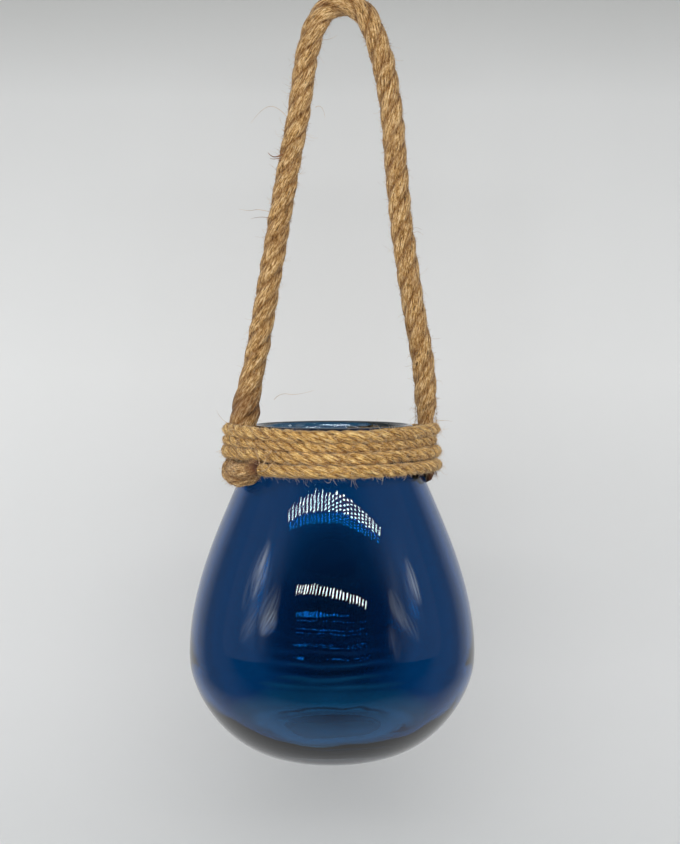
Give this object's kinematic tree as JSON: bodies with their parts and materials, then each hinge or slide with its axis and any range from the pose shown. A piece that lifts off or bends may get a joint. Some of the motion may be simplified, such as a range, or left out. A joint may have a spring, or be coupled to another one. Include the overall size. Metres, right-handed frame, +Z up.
{
  "type": "hanging lantern",
  "caption": "Pot-shaped glass lantern with an open mouth and round belly, hung by a thick rope loop whose ends are bound to its neck with thin rope.",
  "frame": {"origin": "where the inside of the rope loop rests on a hook, at the top of the loop", "axes": "+Z up along the hanging direction, +X to the right leg of the loop, -Y the front, where the curled rope end shows at the lower left"},
  "size_m": [0.145, 0.145, 0.3795],
  "materials": {
    "blue_glass": "clear dark blue glass, fire-polished, slightly uneven inside",
    "thin_rope": "three-strand jute rope, hairy, matt with a slight sheen along the fibres",
    "thick_rope": "three-strand jute rope, hairy, matt with a slight sheen along the fibres",
    "hot_melt_glue": "cloudy hot-melt glue"
  },
  "bodies": {
    "handle": {"handle_rope": "thick_rope"},
    "vessel": {"glass_vessel": "blue_glass", "neck_binding": "thin_rope", "handle_tail_left": "thick_rope", "handle_tail_right": "thick_rope", "glue_left": "hot_melt_glue", "glue_right": "hot_melt_glue"}
  },
  "joints": [
    {"name": "handle_swing", "type": "hinge", "parent": "handle", "child": "vessel", "pos_m": [-0.0056, 0, -0.19855], "axis": [1, 0, 0], "range_deg": [-90, 90]}
  ]
}
